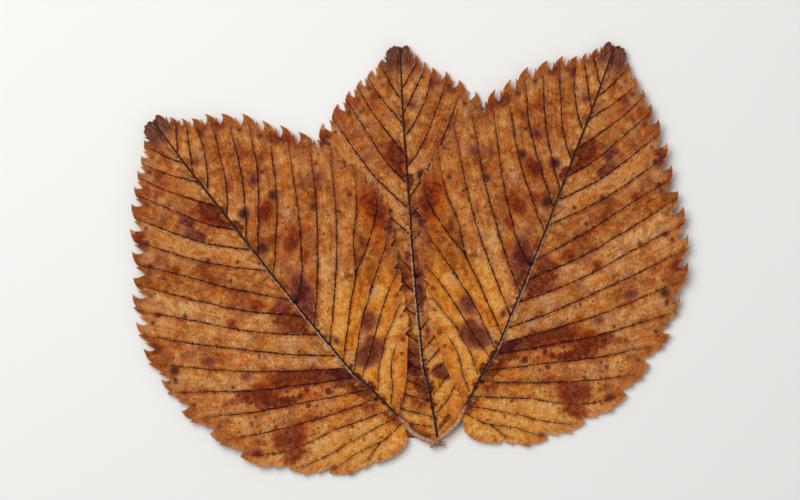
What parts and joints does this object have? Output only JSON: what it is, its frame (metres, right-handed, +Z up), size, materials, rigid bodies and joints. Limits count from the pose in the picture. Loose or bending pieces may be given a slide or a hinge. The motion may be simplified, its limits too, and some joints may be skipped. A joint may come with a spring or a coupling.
{
  "type": "dried leaf",
  "caption": "Flat dried leaf with toothed oval blades fanned out side by side on a short forked stalk, lying upper side up.",
  "frame": {"origin": "on the table, on the flat underside of the middle blade, close under the leaf's weight", "axes": "+Z up, square to the leaf; +Y towards the tip of the middle blade; +X across the fan, to the mirrored blade's side"},
  "size_m": [0.1678, 0.1298, 0.0038],
  "materials": {
    "blade_left": "dry, blotched orange-brown, with dark veins",
    "blade_middle": "dry, blotched orange-brown, with dark veins",
    "blade_right": "dry, blotched orange-brown, with dark veins",
    "stalk": "dry, pale pinkish brown"
  },
  "bodies": {
    "root": {"blade_left": "blade_left", "blade_middle": "blade_middle", "blade_right": "blade_right", "stalk": "stalk"}
  },
  "joints": []
}
